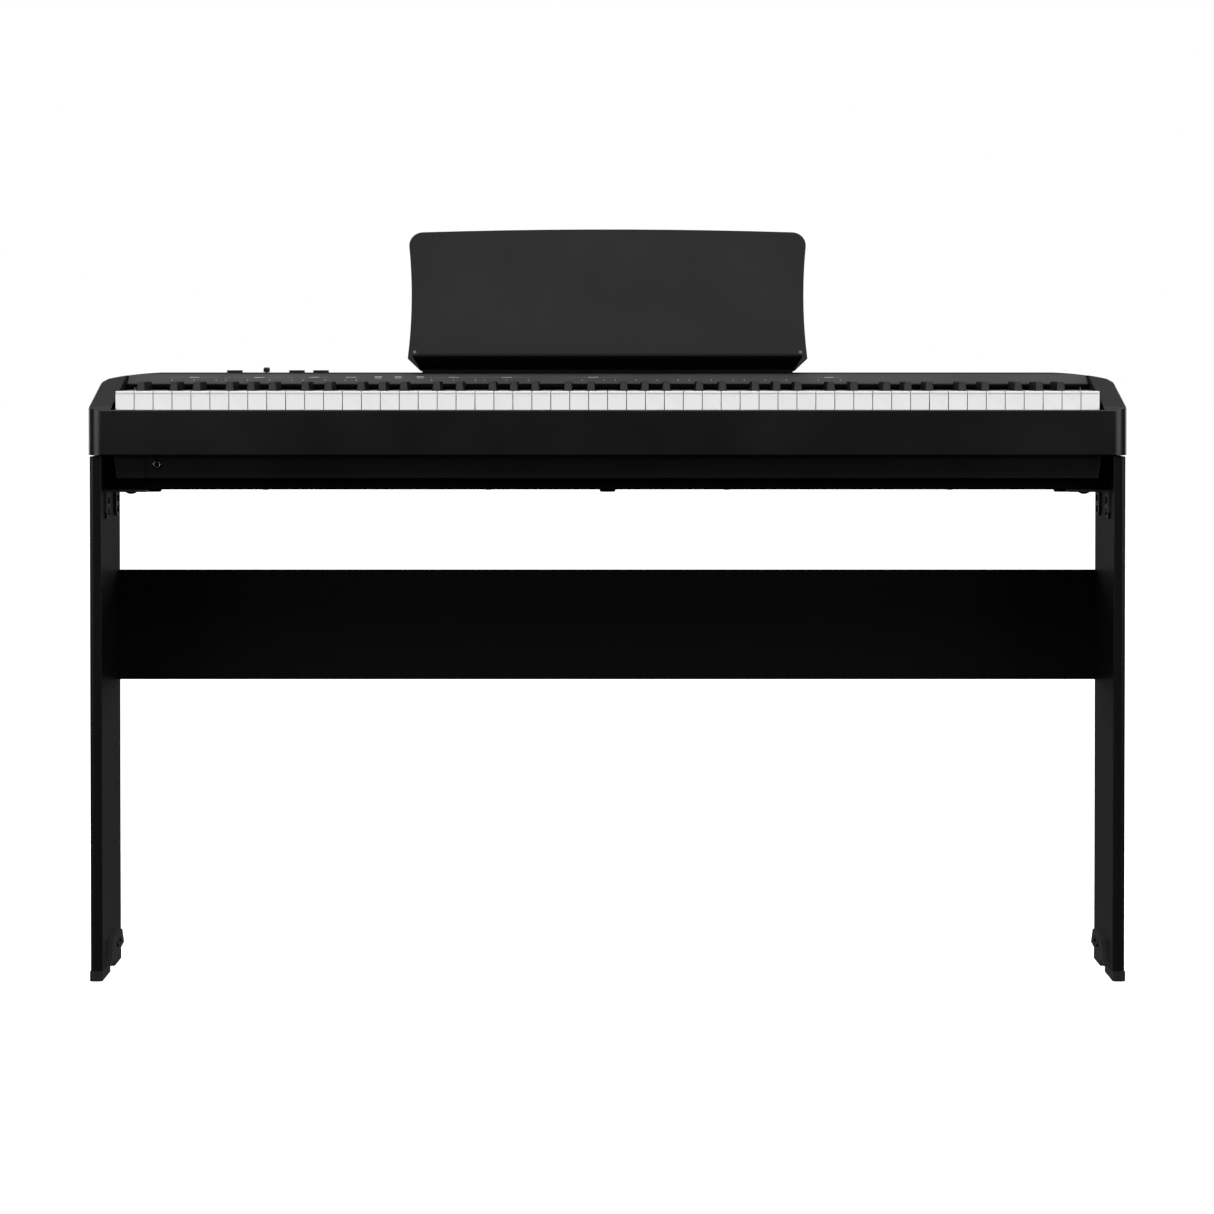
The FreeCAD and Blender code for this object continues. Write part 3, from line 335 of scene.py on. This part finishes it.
SLOT_MATERIALS = {
    "case_plastic": plain("case plastic", grey(0.0052), 0.3, specular=0.3, grain=0.06),
    "tray_plastic": plain("tray plastic", grey(0.0008), 0.6, specular=0.03),
    "stand_board": film_board("stand board film", 2, (0.0034, 0.0050), (0.33, 0.26), 0.16),
    "shoe_plastic": plain("shoe plastic", grey(0.008), 0.4, specular=0.4),
    "black_steel": plain("painted steel", grey(0.008), 0.4, specular=0.4, grain=0.2),
    "dark_fastener": fastener(),
    "rubber": plain("foot rubber", grey(0.002), 0.7, specular=0.1, grain=0.25),
    "control_plastic": plain("control plastic", grey(0.005), 0.35, specular=0.3, grain=0.05),
    "rest_plastic": rest_plastic(),
    "stop_plastic": plain("stop plastic", grey(0.06), 0.5),
    "frame_plastic": plain("frame plastic", grey(0.10), 0.5),
    "rod_steel": plain_metal(),
    "hammer_steel": plain_metal(),
    "felt": felt(),
    "circuit_board": circuit_board(),
    "speaker_black": plain("speaker black", grey(0.01), 0.5),
    "socket_plastic": plain("socket plastic", grey(0.0006), 0.22, specular=0.3, grain=0.02),
    "socket_metal": plain_metal(),
    "white_key": white_keytop(),
    "black_key": black_keytop(),
}
CHEEK_PLASTIC = panel_plastic("cheek plastic", CHEEK_TONE, CHEEK_SLOPE_END)
# Materials of nodes that look different from the rest of their slot.
NODE_MATERIALS = {
    "control_panel": panel_plastic("panel plastic", PANEL_TONE, PANEL_SLOPE_END, PANEL_SHADOW_FOOT),
    "left_cheek": CHEEK_PLASTIC,
    "right_cheek": CHEEK_PLASTIC,
    "lower_case": plain("skirt plastic", grey(0.0040), 0.34, specular=0.15, grain=0.08),
    # A darker copy of the stand board's film: painted shade under the keyboard.
    "back_rail": film_board("rail board film", 0, (0.0020, 0.0032), (0.55, 0.47), 0.05),
    "rear_panel": plain("rear plastic", grey(0.014), 0.42, specular=0.4),
}


def dress_cad_nodes():
    slots = {part["node"]: part["material_slot"] for part in frame["record"]["subparts"]}
    for name, obj in frame["nodes"].items():
        mat = NODE_MATERIALS.get(name) or SLOT_MATERIALS[slots[name]]
        obj.data.materials.clear()
        obj.data.materials.append(mat)


# ---- Mesh helpers ----
def piece(name, mesh, mat, body):
    mesh.materials.append(mat)
    obj = bpy.data.objects.new(name, mesh)
    bpy.context.scene.collection.objects.link(obj)
    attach(obj, body)
    return obj


def mesh_from(name, bm, smooth=False):
    bm.normal_update()
    mesh = bpy.data.meshes.new(name)
    bm.to_mesh(mesh)
    bm.free()
    for poly in mesh.polygons:
        poly.use_smooth = smooth
    return mesh


PROBE_FROM = 2.0


def surface(node):
    """A function that finds the point, and the normal, of a node's upper surface at X and Y."""
    obj = frame["nodes"][node]
    depsgraph = bpy.context.evaluated_depsgraph_get()
    tree = BVHTree.FromObject(obj, depsgraph)

    def probe(x, y):
        place, normal, _, _ = tree.ray_cast(Vector((x, y, PROBE_FROM)), Vector((0, 0, -1)))
        return place, normal

    return probe


# ---- Printed marks on the panel's slope ----
LINE_DEPTH = 202.0
DOT_DEPTH = 193.0
INK_T = 0.00006
DOT_PITCH = 28.1
# Each printed group: its centre from the middle, its half length, its number of dots and their pitch,
# in millimetres.
MARK_GROUPS = (
    (-527.7, 32.6, 3, DOT_PITCH),
    (-445.3, 44.7, 4, DOT_PITCH),
    (-375.0, 19.2, 2, DOT_PITCH),
    (-327.7, 10.2, 2, DOT_PITCH / 2),
    (-196.7, 31.3, 3, DOT_PITCH),
    (-129.0, 31.4, 3, DOT_PITCH),
    (-18.2, 31.5, 2, DOT_PITCH),
    (283.2, 19.0, 2, DOT_PITCH),
)
LONE_LABELS = (-293.2, -267.6, -239.5)
LONE_DOTS = (9.7, 36.6, 63.4, 90.2, 104.3, 132.4, 160.5, 174.6, 201.4, 228.3)
# Half lengths and half widths of the marks, in millimetres.
LABEL_HALF = 6.5
LABEL_HALF_WIDTH = 0.6
LONE_LABEL_HALF = 4.5
LINE_HALF_WIDTH = 0.22
DOT_HALF = 0.55
DOT_HALF_WIDTH = 0.9
# The gap between a group's label and its lines, the shortest line, and the least that lines outreach a label.
LABEL_GAP = 1.5
LINE_LEAST = 2
LABEL_MARGIN = 3
# A lone label is two rows, so far each side of the line's depth.
ROW_SHIFT = 2.2
# Each kind of mark and the tone of its ink.
INKS = (("line", 0.2), ("dot", 0.7), ("label", 0.55))


def patch(bm, probe, x, y, half_x, half_y):
    """A thin printed patch that follows the slope."""
    place, normal = probe(x, y)
    along = Vector((1, 0, 0))
    across = normal.cross(along)
    matrix = Matrix((along, across, normal)).transposed().to_4x4()
    matrix.translation = place + normal * (INK_T / 2)
    size = Matrix.Diagonal((2 * half_x, 2 * half_y, INK_T, 1))
    bmesh.ops.create_cube(bm, size=1.0, matrix=matrix @ size)


def panel_print():
    probe = surface("control_panel")
    marks = {kind: bmesh.new() for kind, _ in INKS}
    line_y, dot_y = depth(LINE_DEPTH), depth(DOT_DEPTH)

    def mark(kind, x_mm, y, half_mm, half_width_mm):
        patch(marks[kind], probe, x_mm * MM, y, half_mm * MM, half_width_mm * MM)

    for centre, half, count, pitch in MARK_GROUPS:
        for side in (-1, 1):
            inner = min(LABEL_HALF + LABEL_GAP, half - LINE_LEAST)
            mid = (inner + half) / 2
            mark("line", centre + side * mid, line_y, (half - inner) / 2, LINE_HALF_WIDTH)
        mark("label", centre, line_y, min(LABEL_HALF, half - LABEL_MARGIN), LABEL_HALF_WIDTH)
        for i in range(count):
            mark("dot", centre + (i - (count - 1) / 2) * pitch, dot_y, DOT_HALF, DOT_HALF_WIDTH)
    for x in LONE_LABELS:
        for shift in (-ROW_SHIFT, ROW_SHIFT):
            mark("label", x, line_y + shift * MM, LONE_LABEL_HALF, LABEL_HALF_WIDTH)
    for x in LONE_DOTS:
        mark("dot", x, dot_y, DOT_HALF, DOT_HALF_WIDTH)
    for kind, level in INKS:
        name = "panel_print_" + kind + "s"
        piece(name, mesh_from(name, marks[kind]), print_ink(kind + " ink", level), STATIC)


# ---- Metal rings in the jacks ----
RING_R = 3.6 * MM
RING_WIRE_R = 0.28 * MM
RING_TURN = 40
WIRE_TURN = 12
# How far a ring's centre stands out of its mount, as a share of the wire's radius.
RING_OUT = 0.6


def jack_ring(name, mount, outward):
    """The metal lip of a jack's bore, a ring that stands just inside its collar."""
    centre = Vector(next(m["pos_m"] for m in frame["record"]["mounts"] if m["name"] == mount))
    centre.y += outward * RING_WIRE_R * RING_OUT
    bm = bmesh.new()
    rows = []
    for i in range(RING_TURN):
        turn = 2 * math.pi * i / RING_TURN
        out = Vector((math.cos(turn), 0, math.sin(turn)))
        row = []
        for k in range(WIRE_TURN):
            roll = 2 * math.pi * k / WIRE_TURN
            reach = RING_R + RING_WIRE_R * math.cos(roll)
            rise = Vector((0, RING_WIRE_R * math.sin(roll), 0))
            row.append(bm.verts.new(centre + out * reach + rise))
        rows.append(row)
    for i, row in enumerate(rows):
        after = rows[(i + 1) % RING_TURN]
        for k in range(WIRE_TURN):
            m = (k + 1) % WIRE_TURN
            bm.faces.new((row[k], row[m], after[m], after[k]))
    bmesh.ops.recalc_face_normals(bm, faces=bm.faces)
    piece(name, mesh_from(name, bm, smooth=True), SLOT_MATERIALS["socket_metal"], STATIC)


# ---- Stage ----
FLOOR_GLOW = 1.0
FLOOR_HALF = 60.0
FLOOR_GAP = 0.0005
# Each area light: its name, place, target, size and power. Each of the side lights is mirrored in X.
MIDDLE_LIGHTS = (
    ("front_high", (0, -2.7, 3.7), (0, -0.1, 0.7), (4.0, 1.2), 128),
    ("back_high", (0, 2.4, 3.6), (0, 0, 0.7), (4.0, 1.2), 4),
)
SIDE_LIGHTS = (
    ("side_box", (2.9, -2.5, 1.15), (0.4, -0.1, 1.0), (2.4, 1.0), 50),
    ("rear_box", (2.7, 2.7, 0.95), (0.4, 0.1, 0.7), (2.4, 1.4), 30),
)
# Each is where a brightness of the sky starts and ends, by the height of the direction, and its two levels.
HORIZON = (-0.12, 0.10, 0.01, 0.09)
OVERHEAD = (0.1, 1.0, 0.0, 0.4)
# The pale floor behind: how its light grows towards the rear, and fades out at the horizon.
BEHIND = (0.1, 0.7, 0.0, 0.05)
BELOW = (-0.15, -0.02, 1.0, 0.0)


def floor():
    bm = bmesh.new()
    bmesh.ops.create_grid(bm, x_segments=8, y_segments=8, size=FLOOR_HALF)
    mesh = mesh_from("floor", bm)
    mesh.materials.append(floor_paper())
    obj = bpy.data.objects.new("floor", mesh)
    bpy.context.scene.collection.objects.link(obj)
    obj.location.z = -FLOOR_GAP
    obj.visible_diffuse = False
    obj.visible_glossy = False


def area_light(name, place, target, size, power):
    light = bpy.data.lights.new(name, "AREA")
    light.shape = "RECTANGLE"
    light.size, light.size_y = size
    light.energy = power
    obj = bpy.data.objects.new(name, light)
    obj.location = place
    obj.rotation_euler = (Vector(target) - Vector(place)).to_track_quat("-Z", "Y").to_euler()
    obj.visible_camera = False
    bpy.context.scene.collection.objects.link(obj)


def lights():
    """A high soft key light in front, a weak one behind, and a wide softbox beyond each corner."""
    for light in MIDDLE_LIGHTS:
        area_light(*light)
    for side in (-1, 1):
        for name, (x, y, z), (to_x, to_y, to_z), size, power in SIDE_LIGHTS:
            area_light(name, (side * x, y, z), (side * to_x, to_y, to_z), size, power)


def ramp(tree, value, start, end, low, high):
    """A brightness that follows one component of the direction."""
    node = tree.nodes.new("ShaderNodeMapRange")
    node.interpolation_type = "SMOOTHSTEP"
    node.inputs["From Min"].default_value = start
    node.inputs["From Max"].default_value = end
    node.inputs["To Min"].default_value = low
    node.inputs["To Max"].default_value = high
    tree.links.new(value, node.inputs["Value"])
    return node.outputs["Result"]


def arithmetic(tree, operation, first, second):
    node = tree.nodes.new("ShaderNodeMath")
    node.operation = operation
    tree.links.new(first, node.inputs[0])
    tree.links.new(second, node.inputs[1])
    return node.outputs["Value"]


def world():
    """White wherever the camera sees it; the object is lit by a sky that is dark at the horizon and below it,
    apart from the pale floor behind the object."""
    scene = bpy.context.scene
    scene.world = bpy.data.worlds.new("studio")
    scene.world.use_nodes = True
    tree = scene.world.node_tree
    background = tree.nodes["Background"]
    background.inputs["Color"].default_value = (1, 1, 1, 1)
    split = tree.nodes.new("ShaderNodeSeparateXYZ")
    tree.links.new(tree.nodes.new("ShaderNodeTexCoord").outputs["Generated"], split.inputs["Vector"])
    horizon = ramp(tree, split.outputs["Z"], *HORIZON)
    overhead = ramp(tree, split.outputs["Z"], *OVERHEAD)
    behind = ramp(tree, split.outputs["Y"], *BEHIND)
    below = ramp(tree, split.outputs["Z"], *BELOW)
    bounce = arithmetic(tree, "MULTIPLY", behind, below)
    total = arithmetic(tree, "ADD", arithmetic(tree, "ADD", horizon, overhead), bounce)
    seen = tree.nodes.new("ShaderNodeMix")
    seen.data_type = "FLOAT"
    seen.inputs["B"].default_value = 1.0
    tree.links.new(tree.nodes.new("ShaderNodeLightPath").outputs["Is Camera Ray"], seen.inputs["Factor"])
    tree.links.new(total, seen.inputs["A"])
    tree.links.new(seen.outputs["Result"], background.inputs["Strength"])
    scene.view_settings.view_transform = "Standard"
    scene.view_settings.look = "None"


# ---- Camera ----
KEY_FRONT_DEPTH = 20.0
CAMERA_DISTANCE = 6.0
CAMERA_HEIGHT = 0.783
CAMERA_LENS = 143.4
SENSOR_WIDTH = 36.0
CLIP_END = 200.0
PITCH = 1.5
HORIZON_ABOVE_MIDDLE = 0.2117
CAMERA_X = -0.0007


def camera():
    """Nearly level, with part of the framing made by a small downward shift."""
    cam = bpy.data.cameras.new("camera")
    cam.lens = CAMERA_LENS
    cam.sensor_width = SENSOR_WIDTH
    drop = CAMERA_LENS / SENSOR_WIDTH * math.tan(math.radians(PITCH))
    cam.shift_y = drop - HORIZON_ABOVE_MIDDLE
    cam.clip_end = CLIP_END
    obj = bpy.data.objects.new("camera", cam)
    obj.location = (CAMERA_X, depth(KEY_FRONT_DEPTH) - CAMERA_DISTANCE, CAMERA_HEIGHT)
    obj.rotation_euler = (math.radians(90 - PITCH), 0, 0)
    bpy.context.scene.collection.objects.link(obj)
    bpy.context.scene.camera = obj


dress_cad_nodes()
panel_print()
jack_ring("headphone_ring", "headphone_socket", -1)
for jack in ("line_out_left", "line_out_right", "pedal_socket"):
    jack_ring(jack + "_ring", jack, 1)
floor()
world()
lights()
camera()
